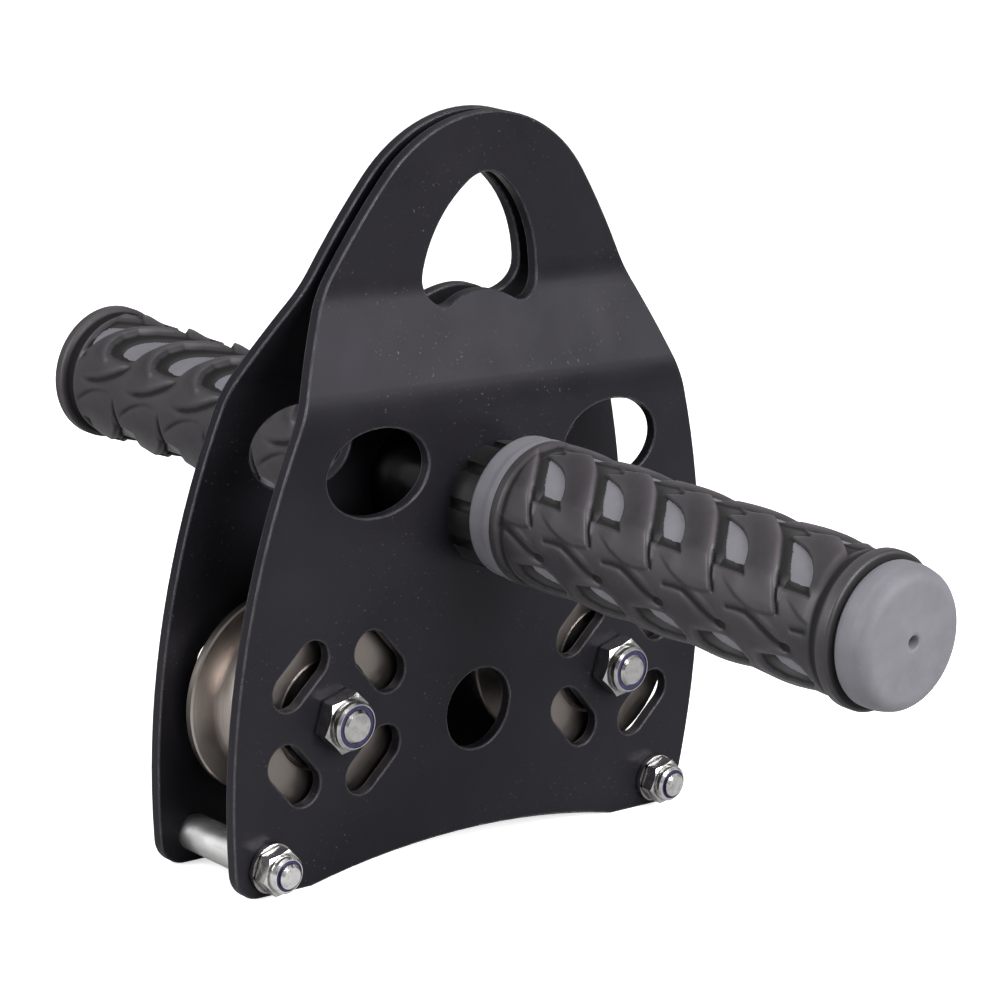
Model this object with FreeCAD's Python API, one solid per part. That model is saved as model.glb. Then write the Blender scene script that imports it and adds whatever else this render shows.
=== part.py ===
"""Zip line trolley with two grooved wheels, a joggled pair of side plates and a cross handlebar.

Frame: +Z up, +Y along the handlebar from the front plate (nuts) to the rear plate (bolt heads),
+X along the cable.  The origin is on the ground, midway between the axles and under the middle of the
whole length.  Everything below is written from the mid-plane between the two plates, and the finished
parts are moved MID_PLANE_Y along +Y, because the front grip stands out further than the rear one.
The trolley stands on the wide ends of its plates; in use it hangs the other way up.
All lengths are in millimetres.
"""
import FreeCAD, Part
import math
import os

V = FreeCAD.Vector
Y_AXIS = V(0, 1, 0)
TINY = 1e-6

# ---- driving dimensions: side plates ----
SHEET = 3.0                  # plate thickness
LOWER_OUT = 15.4             # mid-plane to a plate's outer face, at the wheels
UPPER_OUT = 4.4              # the same, at the carabiner eye
BEND_LOW_Z = 113.0           # joggle: where the sheet's mid-line leaves the wheel section
BEND_HIGH_Z = 138.3          # joggle: where it reaches the eye section
BEND_R = 20.0                # bend radius of the sheet's mid-line
EDGE_R = 0.4                 # rounding of every cut edge
OVERSHOOT = 60.0             # how far cutting shapes run past the plates

# ---- driving dimensions: plate outline ----
HALF_WIDTH = 75.2            # widest half-width
WIDEST_Z = 37.7              # height of the widest place
SIDE_R = 203.0               # side arc
TOP_R = 40.3                 # arc round the eye end, tangent to both side arcs
CORNER_R = 7.5               # foot corners
CORNER_MID_DEG = -40.0       # direction of a point near the middle of a foot corner's arc
FOOT_INNER_X = 49.5          # inner end of each foot flat
ARCH_RISE = 5.1              # rise of the shallow arch between the feet

# ---- driving dimensions: holes in the plates ----
AXLE_X = 45.0
AXLE_Z = 40.3
SLOT_PITCH_R = 17.0          # slots lie on this circle round each axle
SLOT_LENGTH = 18.6
SLOT_WIDTH = 9.8
CENTRE_HOLE_R = 10.1
CENTRE_HOLE_Z = AXLE_Z - 4.65
OVAL_X = 37.5
OVAL_Z = AXLE_Z + 57.8
OVAL_HALF_LENGTH = 15.5
OVAL_HALF_WIDTH = 10.5
CORNER_X = 63.2              # corner bolts
CORNER_Z = AXLE_Z - 32.8
HOLE_CLEARANCE = 0.2         # bolt and tube holes in the plates are this much larger in radius
EYE_TOP_Z = AXLE_Z + 124.0   # top of the carabiner eye

# ---- driving dimensions: handlebar ----
BAR_Z = AXLE_Z + 46.55
BAR_R = 11.1                 # standard 22.2 mm handlebar
BAR_WALL = 2.0
BAR_END = 134.0              # mid-plane to the tube's end
BAR_SPACER_R = 15.0
LOCK_RING_R = 15.2
LOCK_RING_END = 24.4
LOCK_RING_LOBES = 10
LOBE_GAP_R = 1.5
LOBE_TURN_DEG = 28.5         # direction of one gap between lobes, from +X towards +Z
GRIP_RING_R = 17.9           # grey ring next to the lock ring
GRIP_RING_END = 31.9
GRIP_RING_CHAMFER = 1.0
GRIP_CORE_R = 16.2
GRIP_COVER_R = 17.3
COLLAR_R = 17.8              # black collar at the outer end of the cover
COLLAR_START = 131.0
COLLAR_END = 136.0
COLLAR_CHAMFER = 0.6
GRIP_END = 145.5             # mid-plane to the front grip's cap
CAP_ROUND_R = 3.0
REAR_GRIP_END = 137.6        # the rear cap is almost level with its collar
REAR_CAP_ROUND_R = 1.2
MID_PLANE_Y = (GRIP_END - REAR_GRIP_END) / 2    # the mid-plane's place in the finished frame
VENT_R = 1.5

# ---- driving dimensions: wheels and bearings ----
WHEEL_R = 24.6
WHEEL_HALF_WIDTH = 10.4
RIM_WIDTH = 2.4              # flat outer rim of each flange
RIM_CHAMFER = 0.4
GROOVE_R = 6.5               # cable groove
GROOVE_ROOT_R = 16.5         # wheel radius at the bottom of the groove
BEARING_R = 13.0             # 10 x 26 x 8 mm ball bearings
BEARING_BORE_R = 5.0
BEARING_WIDTH = 8.0
BEARING_RECESS = 0.4         # bearing face below the wheel's face
POCKET_CHAMFER = 1.0
HUB_SHOULDER_R = 11.6        # shoulder between the two bearing pockets
OUTER_SHOULDER_R = 11.1      # bore of an outer race
INNER_SHOULDER_R = 7.1       # outside of an inner race
BALL_R = 2.38
BALL_PITCH_R = 9.05
BALL_GROOVE_R = 2.45
BALLS = 7
CAGE_IN_R = 8.2
CAGE_OUT_R = 9.9
CAGE_HALF_WIDTH = 3.0
CAGE_CLEARANCE = 0.12
SEAL_THICKNESS = 0.5
SEAL_INSET = 0.3
SEAL_GAP = 0.3               # seal lip to inner race
RACE_SPACER_R = 6.5

# ---- driving dimensions: fasteners ----
M8_R = 4.0
M8_FLATS = 13.0
M8_HEAD = 5.3
M8_NUT = 7.0
M8_COLLAR_R = 5.9
M8_PROUD = 0.6               # bolt end beyond its nut
M8_TURN_DEG = 17.0           # direction of one corner of the hexagon, from +X towards +Z
M6_R = 3.0
M6_FLATS = 10.0
M6_HEAD = 4.0
M6_NUT = 5.8
M6_COLLAR_R = 4.5
M6_PROUD = 1.2
M6_TURN_DEG = 15.0
WASHER = 1.6
M8_WASHER_R = 8.0
M6_WASHER_R = 6.0
HEX_SHARE = 0.66             # share of a lock nut's height that is hexagonal
HEX_BEVEL_DEG = 30.0
NUT_LIP = 0.5                # chamfer of a lock nut's collar
INSERT_WALL = 0.75           # metal wall left round a nylon ring
INSERT_DEPTH = 1.8
BOLT_CHAMFER = 0.6
SLEEVE_CLEARANCE = 0.05
CORNER_SPACER_R = 4.5

# ---- derived dimensions ----
LOWER_IN = LOWER_OUT - SHEET
BEARING_OUT_Y = WHEEL_HALF_WIDTH - BEARING_RECESS
BEARING_IN_Y = BEARING_OUT_Y - BEARING_WIDTH
BEARING_MID_Y = (BEARING_OUT_Y + BEARING_IN_Y) / 2
AXLES = (("left", -AXLE_X), ("right", AXLE_X))
SIDES = (("front", -1), ("rear", 1))


# ---- geometry helpers ----
def cylinder(r, y0, y1, x=0.0, z=0.0):
    """Solid cylinder along Y from y0 to y1."""
    low, high = min(y0, y1), max(y0, y1)
    return Part.makeCylinder(r, high - low, V(x, low, z), Y_AXIS)


def tube(r_out, r_in, y0, y1, x=0.0, z=0.0):
    """Solid tube along Y from y0 to y1."""
    return cylinder(r_out, y0, y1, x, z).cut(cylinder(r_in, y0, y1, x, z))


def line(a, b):
    return Part.LineSegment(a, b).toShape()


def arc(a, b, c):
    """Circular arc from a through b to c."""
    return Part.Arc(a, b, c).toShape()


def revolve(edges, x, z):
    """Solid of revolution about the Y axis through (x, z) from edges drawn in the (radius, y) plane."""
    face = Part.Face(Part.Wire(edges))
    face.translate(V(x, 0, z))
    return face.revolve(V(x, 0, z), Y_AXIS, 360)


def ry(r, y):
    """Point of a turning profile: radius r at height y along the axis."""
    return V(r, y, 0)


def polygon_edges(points):
    return [line(a, b) for a, b in zip(points, points[1:] + points[:1])]


def prism(wire):
    """Solid that cuts right through both plates, from a closed wire drawn at y = 0."""
    face = Part.Face(wire)
    face.translate(V(0, -OVERSHOOT, 0))
    return face.extrude(V(0, 2 * OVERSHOOT, 0))


def drill(r, x, z):
    """Round hole right through both plates."""
    return cylinder(r, -OVERSHOOT, OVERSHOOT, x, z)


def mirrored(shape):
    """Mirror image across the mid-plane y = 0."""
    return shape.mirror(V(0, 0, 0), Y_AXIS)


def group(shapes):
    return Part.makeCompound(shapes)


# ---- side plates ----
def plate_outline():
    """Closed outline in the XZ plane: arched foot, rounded corners, side arcs, arc round the eye."""
    side_c = V(HALF_WIDTH - SIDE_R, 0, WIDEST_Z)
    rise = math.sqrt((SIDE_R - TOP_R) ** 2 - side_c.x ** 2)
    top_c = V(0, 0, WIDEST_Z + rise)
    corner_c = V(side_c.x + math.sqrt((SIDE_R - CORNER_R) ** 2 - (CORNER_R - WIDEST_Z) ** 2), 0, CORNER_R)

    def on_side(toward):
        return side_c + (toward - side_c).normalize() * SIDE_R

    low_tangent = on_side(corner_c)
    high_tangent = on_side(top_c)
    middle = math.radians(CORNER_MID_DEG)
    diagonal = V(math.cos(middle), 0, math.sin(middle))
    right = [
        (V(FOOT_INNER_X, 0, 0), V(corner_c.x, 0, 0)),
        (V(corner_c.x, 0, 0), corner_c + diagonal * CORNER_R, low_tangent),
        (low_tangent, on_side(V(0, 0, WIDEST_Z + rise * 0.5)), high_tangent),
    ]
    edges = [line(*piece) if len(piece) == 2 else arc(*piece) for piece in right]
    edges += [e.mirror(V(0, 0, 0), V(1, 0, 0)) for e in edges]
    flip = V(-high_tangent.x, 0, high_tangent.z)
    edges.append(arc(high_tangent, top_c + V(0, 0, TOP_R), flip))
    edges.append(arc(V(-FOOT_INNER_X, 0, 0), V(0, 0, ARCH_RISE), V(FOOT_INNER_X, 0, 0)))
    return Part.Wire(Part.__sortEdges__(edges))


def eye_outline():
    """Carabiner eye: an arched top, bowed sides, two round lobes and a hump between them."""
    def p(x, drop):
        return V(x, 0, EYE_TOP_Z - drop)

    half = [
        (p(6.3, 2.4), p(14.4, 11.7), p(18.2, 24.2)),
        (p(18.2, 24.2), p(16.5, 29.0), p(12.2, 30.8)),
        (p(12.2, 30.8), p(10.8, 30.6), p(9.5, 30.1)),
    ]
    edges = [arc(*piece) for piece in half]
    edges += [e.mirror(V(0, 0, 0), V(1, 0, 0)) for e in edges]
    edges.append(arc(p(-6.3, 2.4), p(0, 0), p(6.3, 2.4)))
    edges.append(arc(p(-9.5, 30.1), p(0, 27.8), p(9.5, 30.1)))
    return Part.Wire(Part.__sortEdges__(edges))


def slot_outline(x, z, angle):
    """Round-ended slot with its long axis at this angle to X."""
    r = SLOT_WIDTH / 2
    reach = SLOT_LENGTH / 2 - r
    u = V(math.cos(angle), 0, math.sin(angle))
    n = V(-math.sin(angle), 0, math.cos(angle))
    c = V(x, 0, z)
    a, b = c + u * reach + n * r, c + u * reach - n * r
    d, e = c - u * reach - n * r, c - u * reach + n * r
    tip = u * (reach + r)
    return Part.Wire([arc(a, c + tip, b), line(b, d), arc(d, c - tip, e), line(e, a)])


def oval_outline(x):
    ellipse = Part.Ellipse(V(0, 0, 0), OVAL_HALF_LENGTH, OVAL_HALF_WIDTH)
    shape = ellipse.toShape()
    shape.rotate(V(0, 0, 0), V(1, 0, 0), 90)
    shape.translate(V(x, 0, OVAL_Z))
    return Part.Wire([shape])


def sheet_path(offset):
    """Edges of the bent sheet's section at this distance outside its mid-line, from foot to eye end."""
    y_low = LOWER_OUT - SHEET / 2
    y_high = UPPER_OUT - SHEET / 2
    turn = math.atan2(y_low - y_high, BEND_HIGH_Z - BEND_LOW_Z)
    reach = BEND_R * math.tan(turn / 2)
    out = V(0, math.cos(turn), math.sin(turn))
    half_out = V(0, math.cos(turn / 2), math.sin(turn / 2))
    p1, p2 = V(0, y_low, BEND_LOW_Z), V(0, y_high, BEND_HIGH_Z)
    c1 = p1 + V(0, -BEND_R, -reach)
    c2 = p2 + V(0, BEND_R, reach)
    r1, r2 = BEND_R + offset, BEND_R - offset
    bottom, top = V(0, y_low + offset, -OVERSHOOT), V(0, y_high + offset, BEND_HIGH_Z + OVERSHOOT)
    a1, a2 = c1 + Y_AXIS * r1, c1 + out * r1
    b1, b2 = c2 - out * r2, c2 - Y_AXIS * r2
    return [line(bottom, a1), arc(a1, c1 + half_out * r1, a2), line(a2, b1),
            arc(b1, c2 - half_out * r2, b2), line(b2, top)]


def side_plate():
    """The rear plate, at +Y."""
    inner, outer = sheet_path(-SHEET / 2), sheet_path(SHEET / 2)
    ends = [line(inner[0].Vertexes[0].Point, outer[0].Vertexes[0].Point),
            line(inner[-1].Vertexes[1].Point, outer[-1].Vertexes[1].Point)]
    section = Part.Face(Part.Wire(Part.__sortEdges__(inner + outer + ends)))
    section.translate(V(-HALF_WIDTH - OVERSHOOT, 0, 0))
    plate = section.extrude(V(2 * (HALF_WIDTH + OVERSHOOT), 0, 0)).common(prism(plate_outline()))
    cutters = [prism(eye_outline()), drill(CENTRE_HOLE_R, 0, CENTRE_HOLE_Z)]
    cutters.append(drill(BAR_R + HOLE_CLEARANCE, 0, BAR_Z))
    for side in (-1, 1):
        cutters.append(prism(oval_outline(side * OVAL_X)))
        cutters.append(drill(M8_R + HOLE_CLEARANCE, side * AXLE_X, AXLE_Z))
        cutters.append(drill(M6_R + HOLE_CLEARANCE, side * CORNER_X, CORNER_Z))
        for quarter in range(4):
            angle = math.radians(45 + 90 * quarter)
            x = side * AXLE_X + SLOT_PITCH_R * math.cos(angle)
            z = AXLE_Z + SLOT_PITCH_R * math.sin(angle)
            cutters.append(prism(slot_outline(x, z, angle + math.pi / 2)))
    plate = plate.cut(cutters).Solids[0]
    return plate.makeFillet(EDGE_R, cut_edges(plate))


def cut_edges(plate):
    """Edges round the outline and the holes: all but the bend lines and the short ones across the sheet."""
    found = []
    for edge in plate.Edges:
        span = edge.Vertexes[-1].Point - edge.Vertexes[0].Point
        across_sheet = span.Length > TINY and span.cross(Y_AXIS).Length < TINY
        level = edge.Curve.TypeId == "Part::GeomLine" and span.cross(V(1, 0, 0)).Length < TINY
        bend_line = level and edge.Vertexes[0].Z > TINY
        if not across_sheet and not bend_line:
            found.append(edge)
    return found


# ---- wheels and bearings ----
def wheel(x):
    """Grooved wheel with a bearing pocket in each side."""
    root_c = GROOVE_ROOT_R + GROOVE_R
    lip_y, lip_r = WHEEL_HALF_WIDTH - RIM_WIDTH, WHEEL_R - RIM_CHAMFER
    reach = math.hypot(lip_y, lip_r - root_c)
    angle = math.atan2(lip_r - root_c, lip_y) - math.acos(GROOVE_R / reach)
    tangent = ry(root_c + GROOVE_R * math.sin(angle), GROOVE_R * math.cos(angle))
    pocket_mouth = BEARING_R + POCKET_CHAMFER
    half = [
        ry(WHEEL_R, lip_y + RIM_CHAMFER), ry(WHEEL_R, WHEEL_HALF_WIDTH - RIM_CHAMFER),
        ry(WHEEL_R - RIM_CHAMFER, WHEEL_HALF_WIDTH),
        ry(pocket_mouth, WHEEL_HALF_WIDTH), ry(BEARING_R, WHEEL_HALF_WIDTH - POCKET_CHAMFER),
        ry(BEARING_R, BEARING_IN_Y), ry(HUB_SHOULDER_R, BEARING_IN_Y),
    ]
    edges = [line(tangent, ry(lip_r, lip_y))]
    edges.append(line(ry(lip_r, lip_y), half[0]))
    edges += [line(a, b) for a, b in zip(half, half[1:])]
    edges += [e.mirror(V(0, 0, 0), Y_AXIS) for e in edges]
    flip = ry(tangent.x, -tangent.y)
    edges.append(arc(flip, ry(GROOVE_ROOT_R, 0), tangent))
    edges.append(line(ry(HUB_SHOULDER_R, -BEARING_IN_Y), ry(HUB_SHOULDER_R, BEARING_IN_Y)))
    return revolve(Part.__sortEdges__(edges), x, AXLE_Z)


def ball_torus(x, y):
    return Part.makeTorus(BALL_PITCH_R, BALL_GROOVE_R, V(x, y, AXLE_Z), Y_AXIS)


def bearings(x):
    """Outer races, inner races, balls, cages and seals of one wheel's two bearings."""
    found = {"outer": [], "inner": [], "balls": [], "cages": [], "seals": []}
    for side in (-1, 1):
        mid = side * BEARING_MID_Y
        y0, y1 = mid - BEARING_WIDTH / 2, mid + BEARING_WIDTH / 2
        torus = ball_torus(x, mid)
        found["outer"].append(tube(BEARING_R, OUTER_SHOULDER_R, y0, y1, x, AXLE_Z).cut(torus))
        found["inner"].append(tube(INNER_SHOULDER_R, BEARING_BORE_R, y0, y1, x, AXLE_Z).cut(torus))
        cage = tube(CAGE_OUT_R, CAGE_IN_R, mid - CAGE_HALF_WIDTH, mid + CAGE_HALF_WIDTH, x, AXLE_Z)
        for k in range(BALLS):
            angle = 2 * math.pi * (k + 0.5) / BALLS
            outward = V(math.cos(angle), 0, math.sin(angle))
            axis_point = V(x, mid, AXLE_Z)
            found["balls"].append(Part.makeSphere(BALL_R, axis_point + outward * BALL_PITCH_R))
            cage = cage.cut(Part.makeCylinder(BALL_R + CAGE_CLEARANCE, BEARING_R, axis_point, outward))
        found["cages"] += cage.Solids
        for face, inward in ((y0, 1), (y1, -1)):
            a = face + inward * SEAL_INSET
            b = a + inward * SEAL_THICKNESS
            found["seals"].append(tube(OUTER_SHOULDER_R, INNER_SHOULDER_R + SEAL_GAP,
                                       min(a, b), max(a, b), x, AXLE_Z))
    return found


# ---- fasteners ----
def hexagon(flats, turn_deg, y0, y1, x, z):
    """Hexagonal prism along Y with one corner in this direction and both ends' corners turned off."""
    r = flats / math.sqrt(3)
    low, high = min(y0, y1), max(y0, y1)
    angles = [math.radians(turn_deg + 60 * k) for k in range(6)]
    corners = [V(x + r * math.cos(a), low, z + r * math.sin(a)) for a in angles]
    body = Part.Face(Part.Wire(polygon_edges(corners))).extrude(V(0, high - low, 0))
    bevel = (r - flats / 2) * math.tan(math.radians(HEX_BEVEL_DEG))
    turned = revolve(polygon_edges([ry(0, low), ry(flats / 2, low), ry(r, low + bevel), ry(r, high - bevel),
                                    ry(flats / 2, high), ry(0, high)]), x, z)
    return body.common(turned)


def bolt(r, flats, turn_deg, head, y_under_head, y_end, x, z):
    """Hexagon bolt with its head at +Y and its chamfered end at -Y."""
    shank = revolve(polygon_edges([ry(0, y_end), ry(r - BOLT_CHAMFER, y_end), ry(r, y_end + BOLT_CHAMFER),
                                   ry(r, y_under_head), ry(0, y_under_head)]), x, z)
    return shank.fuse(hexagon(flats, turn_deg, y_under_head, y_under_head + head, x, z)).removeSplitter()


def lock_nut(r, flats, turn_deg, height, collar_r, y_seat, x, z):
    """Nylon-insert nut on the front of a plate: the metal nut and its nylon ring."""
    y_end = y_seat - height
    y_hex = y_seat - height * HEX_SHARE
    insert_r = collar_r - INSERT_WALL
    collar = revolve(polygon_edges([ry(0, y_hex), ry(collar_r, y_hex), ry(collar_r, y_end + NUT_LIP),
                                    ry(collar_r - NUT_LIP, y_end), ry(0, y_end)]), x, z)
    nut = hexagon(flats, turn_deg, y_seat, y_hex, x, z).fuse(collar)
    nut = nut.cut(cylinder(r, y_seat, y_end, x, z))
    nut = nut.cut(cylinder(insert_r, y_end, y_end + INSERT_DEPTH, x, z)).removeSplitter()
    insert = tube(insert_r, r, y_end + NUT_LIP / 2, y_end + INSERT_DEPTH, x, z)
    return nut, insert


# ---- handlebar ----
def lock_ring():
    """Lobed ring between the rear plate and the rear grip."""
    ring = tube(LOCK_RING_R, BAR_R, LOWER_OUT, LOCK_RING_END, 0, BAR_Z)
    for k in range(LOCK_RING_LOBES):
        angle = math.radians(LOBE_TURN_DEG + 360 * k / LOCK_RING_LOBES)
        x, z = LOCK_RING_R * math.cos(angle), BAR_Z + LOCK_RING_R * math.sin(angle)
        ring = ring.cut(drill(LOBE_GAP_R, x, z))
    return ring


def grip_core(end, cap_round):
    """Rubber core of a grip on the rear side, from its ring to its rounded cap with a vent hole."""
    c = GRIP_RING_CHAMFER
    body = [
        ry(BAR_R, LOCK_RING_END), ry(GRIP_RING_R - c, LOCK_RING_END), ry(GRIP_RING_R, LOCK_RING_END + c),
        ry(GRIP_RING_R, GRIP_RING_END - c), ry(GRIP_RING_R - c, GRIP_RING_END),
        ry(GRIP_CORE_R, GRIP_RING_END), ry(GRIP_CORE_R, end - cap_round),
    ]
    edges = [line(a, b) for a, b in zip(body, body[1:])]
    face_r = GRIP_CORE_R - cap_round
    diagonal = cap_round * math.sqrt(0.5)
    middle = ry(face_r + diagonal, end - cap_round + diagonal)
    edges.append(arc(body[-1], middle, ry(face_r, end)))
    rest = [ry(face_r, end), ry(VENT_R, end), ry(VENT_R, BAR_END), ry(BAR_R, BAR_END), body[0]]
    edges += [line(a, b) for a, b in zip(rest, rest[1:])]
    return revolve(edges, 0, BAR_Z)


def grip_cover():
    """Moulded cover of the rear grip, with its end collar."""
    points = [
        ry(GRIP_CORE_R, GRIP_RING_END), ry(GRIP_COVER_R, GRIP_RING_END), ry(GRIP_COVER_R, COLLAR_START),
        ry(COLLAR_R, COLLAR_START + COLLAR_CHAMFER), ry(COLLAR_R, COLLAR_END - COLLAR_CHAMFER),
        ry(COLLAR_R - COLLAR_CHAMFER, COLLAR_END), ry(GRIP_CORE_R, COLLAR_END),
    ]
    return revolve(polygon_edges(points), 0, BAR_Z)


# ---- assembly ----
def build():
    nodes = {}
    rear = side_plate()
    nodes["rear_plate"] = rear
    nodes["front_plate"] = mirrored(rear)

    nodes["handle_tube"] = tube(BAR_R, BAR_R - BAR_WALL, -BAR_END, BAR_END, 0, BAR_Z)
    nodes["handle_spacer"] = tube(BAR_SPACER_R, BAR_R, -LOWER_IN, LOWER_IN, 0, BAR_Z)
    nodes["rear_grip_core"] = grip_core(REAR_GRIP_END, REAR_CAP_ROUND_R)
    nodes["front_grip_core"] = mirrored(grip_core(GRIP_END, CAP_ROUND_R))
    for name, shape in {"lock_ring": lock_ring(), "grip_cover": grip_cover()}.items():
        nodes["rear_" + name] = shape
        nodes["front_" + name] = mirrored(shape)

    inner_races, race_spacers, side_spacers, sleeves = [], [], [], []
    axle_bolts, axle_nuts, axle_inserts, axle_washers = [], [], [], []
    corner_bolts, corner_nuts, corner_inserts, corner_washers, corner_spacers = [], [], [], [], []
    for name, x in AXLES:
        nodes[name + "_wheel"] = wheel(x)
        found = bearings(x)
        nodes[name + "_outer_races"] = group(found["outer"])
        nodes[name + "_bearing_balls"] = group(found["balls"])
        nodes[name + "_ball_cages"] = group(found["cages"])
        nodes[name + "_bearing_seals"] = group(found["seals"])
        inner_races += found["inner"]
        race_spacers.append(tube(RACE_SPACER_R, BEARING_BORE_R, -BEARING_IN_Y, BEARING_IN_Y, x, AXLE_Z))
        for low, high in ((-LOWER_IN, -BEARING_OUT_Y), (BEARING_OUT_Y, LOWER_IN)):
            side_spacers.append(tube(RACE_SPACER_R, BEARING_BORE_R, low, high, x, AXLE_Z))
        sleeves.append(tube(BEARING_BORE_R, M8_R + SLEEVE_CLEARANCE, -LOWER_IN, LOWER_IN, x, AXLE_Z))
        under_head = LOWER_OUT + WASHER
        bolt_end = -LOWER_OUT - M8_NUT - M8_PROUD
        axle_bolts.append(bolt(M8_R, M8_FLATS, M8_TURN_DEG, M8_HEAD, under_head, bolt_end, x, AXLE_Z))
        axle_washers.append(tube(M8_WASHER_R, M8_R, LOWER_OUT, under_head, x, AXLE_Z))
        nut, insert = lock_nut(M8_R, M8_FLATS, M8_TURN_DEG, M8_NUT, M8_COLLAR_R, -LOWER_OUT, x, AXLE_Z)
        axle_nuts.append(nut)
        axle_inserts.append(insert)

        cx = math.copysign(CORNER_X, x)
        seat = -LOWER_OUT - WASHER
        bolt_end = seat - M6_NUT - M6_PROUD
        corner_bolts.append(bolt(M6_R, M6_FLATS, M6_TURN_DEG, M6_HEAD, LOWER_OUT, bolt_end, cx, CORNER_Z))
        corner_washers.append(tube(M6_WASHER_R, M6_R, seat, -LOWER_OUT, cx, CORNER_Z))
        nut, insert = lock_nut(M6_R, M6_FLATS, M6_TURN_DEG, M6_NUT, M6_COLLAR_R, seat, cx, CORNER_Z)
        corner_nuts.append(nut)
        corner_inserts.append(insert)
        corner_spacers.append(tube(CORNER_SPACER_R, M6_R, -LOWER_IN, LOWER_IN, cx, CORNER_Z))

    nodes["inner_races"] = group(inner_races)
    nodes["race_spacers"] = group(race_spacers)
    nodes["side_spacers"] = group(side_spacers)
    nodes["axle_sleeves"] = group(sleeves)
    nodes["axle_bolts"] = group(axle_bolts)
    nodes["axle_nuts"] = group(axle_nuts)
    nodes["axle_nut_inserts"] = group(axle_inserts)
    nodes["axle_washers"] = group(axle_washers)
    nodes["corner_bolts"] = group(corner_bolts)
    nodes["corner_nuts"] = group(corner_nuts)
    nodes["corner_nut_inserts"] = group(corner_inserts)
    nodes["corner_washers"] = group(corner_washers)
    nodes["corner_spacers"] = group(corner_spacers)
    return nodes


os.makedirs("parts", exist_ok=True)
for node, built in build().items():
    shape = built.translated(FreeCAD.Vector(0, MID_PLANE_Y, 0))
    if not shape.isValid():
        print("invalid shape:", node)
    shape.exportStep("parts/" + node + ".step")
    print(f"{node:22s} solids {len(shape.Solids):2d}  volume {shape.Volume:10.1f} mm3")
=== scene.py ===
import math
import bpy
import numpy as np
from mathutils import Matrix, Vector


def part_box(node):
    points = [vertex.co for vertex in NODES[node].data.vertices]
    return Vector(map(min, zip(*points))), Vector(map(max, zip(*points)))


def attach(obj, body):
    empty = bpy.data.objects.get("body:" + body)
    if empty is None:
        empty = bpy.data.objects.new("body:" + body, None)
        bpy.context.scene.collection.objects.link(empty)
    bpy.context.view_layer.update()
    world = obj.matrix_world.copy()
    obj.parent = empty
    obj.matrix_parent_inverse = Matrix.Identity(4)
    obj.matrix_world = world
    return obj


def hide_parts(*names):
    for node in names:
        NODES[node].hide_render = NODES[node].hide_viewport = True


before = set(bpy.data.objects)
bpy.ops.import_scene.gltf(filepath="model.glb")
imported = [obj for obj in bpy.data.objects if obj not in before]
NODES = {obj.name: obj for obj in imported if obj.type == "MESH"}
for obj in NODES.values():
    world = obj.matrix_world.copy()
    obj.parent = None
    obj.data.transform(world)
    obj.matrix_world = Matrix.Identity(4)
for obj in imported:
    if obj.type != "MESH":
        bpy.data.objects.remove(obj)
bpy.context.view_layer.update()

# ---- places read from the frame, in metres ----
TUBE_LOW, TUBE_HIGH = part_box("handle_tube")
BAR_Z = (TUBE_LOW.z + TUBE_HIGH.z) / 2
MID_Y = (TUBE_LOW.y + TUBE_HIGH.y) / 2          # the mid-plane between the plates
WHEEL_LOW, WHEEL_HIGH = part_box("right_wheel")
WHEEL_FACE = (WHEEL_HIGH.y - WHEEL_LOW.y) / 2   # from the mid-plane to the wheel's end face
AXLE_X = (WHEEL_LOW.x + WHEEL_HIGH.x) / 2
AXLE_Z = (WHEEL_LOW.z + WHEEL_HIGH.z) / 2
CORNER_X = 0.0632                               # the corner bolts' distance from the middle
CORNER_LOW, CORNER_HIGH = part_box("corner_nuts")
CORNER_Z = (CORNER_LOW.z + CORNER_HIGH.z) / 2

# ---- sizes of the grips, in millimetres ----
# u is the distance from the mid-plane along a grip. phi is the angle round it in degrees: -90 below,
# 0 on the side that faces -X, 90 above, 180 on the side that faces +X and 270 below again.
MM = 0.001
BAR_R = 11.1
GRIP_START = 24.4
RING_R, RING_STEP_R, RING_STEP_U, RING_END = 17.1, 0.25, 29.4, 31.9     # the grey ring beside the plates
LIP_HEIGHT, LIP_FADE = 0.3, (33.6, 35.4)        # the cover's lip beside the ring, above the ring's radius
PATTERN_IN = (33.0, 36.0)                       # the moulded pattern fades in and out between these
COVER_PATTERN_OUT, CORE_PATTERN_OUT = (128.2, 130.4), (128.2, 130.6)
LIFT_END = 130.0                                # where Grip.lift_out holds
COLLAR_RISE, COLLAR_END = (131.6, 133.8), 136.4
COLLAR_GROOVE_IN, COLLAR_GROOVE_OUT = (130.0, 131.2), (132.6, 133.7)
CAP_R, CAP_ROUNDING = 16.35, 3.2
VENT_R, VENT_DEPTH = 1.5, 10.2
PITCH = 19.0                                    # the moulded pattern repeats at this distance
ARC = 17.2 * math.pi / 180                      # millimetres per degree at the radius of the outlines
FIRST_PHI, LAST_PHI = -90.0, 270.0
TOP_PHI = 98.0                                  # the last angle each side's outlines reach
TOP_BLEND = (86, 97)                            # the two sides' patterns change over here above
BOTTOM_BLEND = 8                                # and over this many degrees on either side below


class Grip:
    """What differs between the two grips. near is the pattern of the side that faces -X."""

    def __init__(self, where, side, near, end, cover_r, collar_r, pad_r, groove_depth, lift_in, lift_out):
        self.where, self.side, self.near, self.end = where, side, near, end
        self.cover_r, self.collar_r = cover_r, collar_r
        self.pad_r = pad_r                      # core radius where it shows through the cover's windows
        self.hidden_r = pad_r - 0.8             # cover radius in those windows
        self.inner_r = pad_r - 1.0              # core radius under the cover
        self.groove_depth = groove_depth        # between the pattern and the collar
        self.lift_in, self.lift_out = lift_in, lift_out     # the rubber's ends above the bar's axis


# ---- small functions for the moulded pattern ----
def smooth(x, low, high):
    t = np.clip((x - low) / (high - low), 0.0, 1.0)
    return t * t * (3 - 2 * t)


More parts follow.
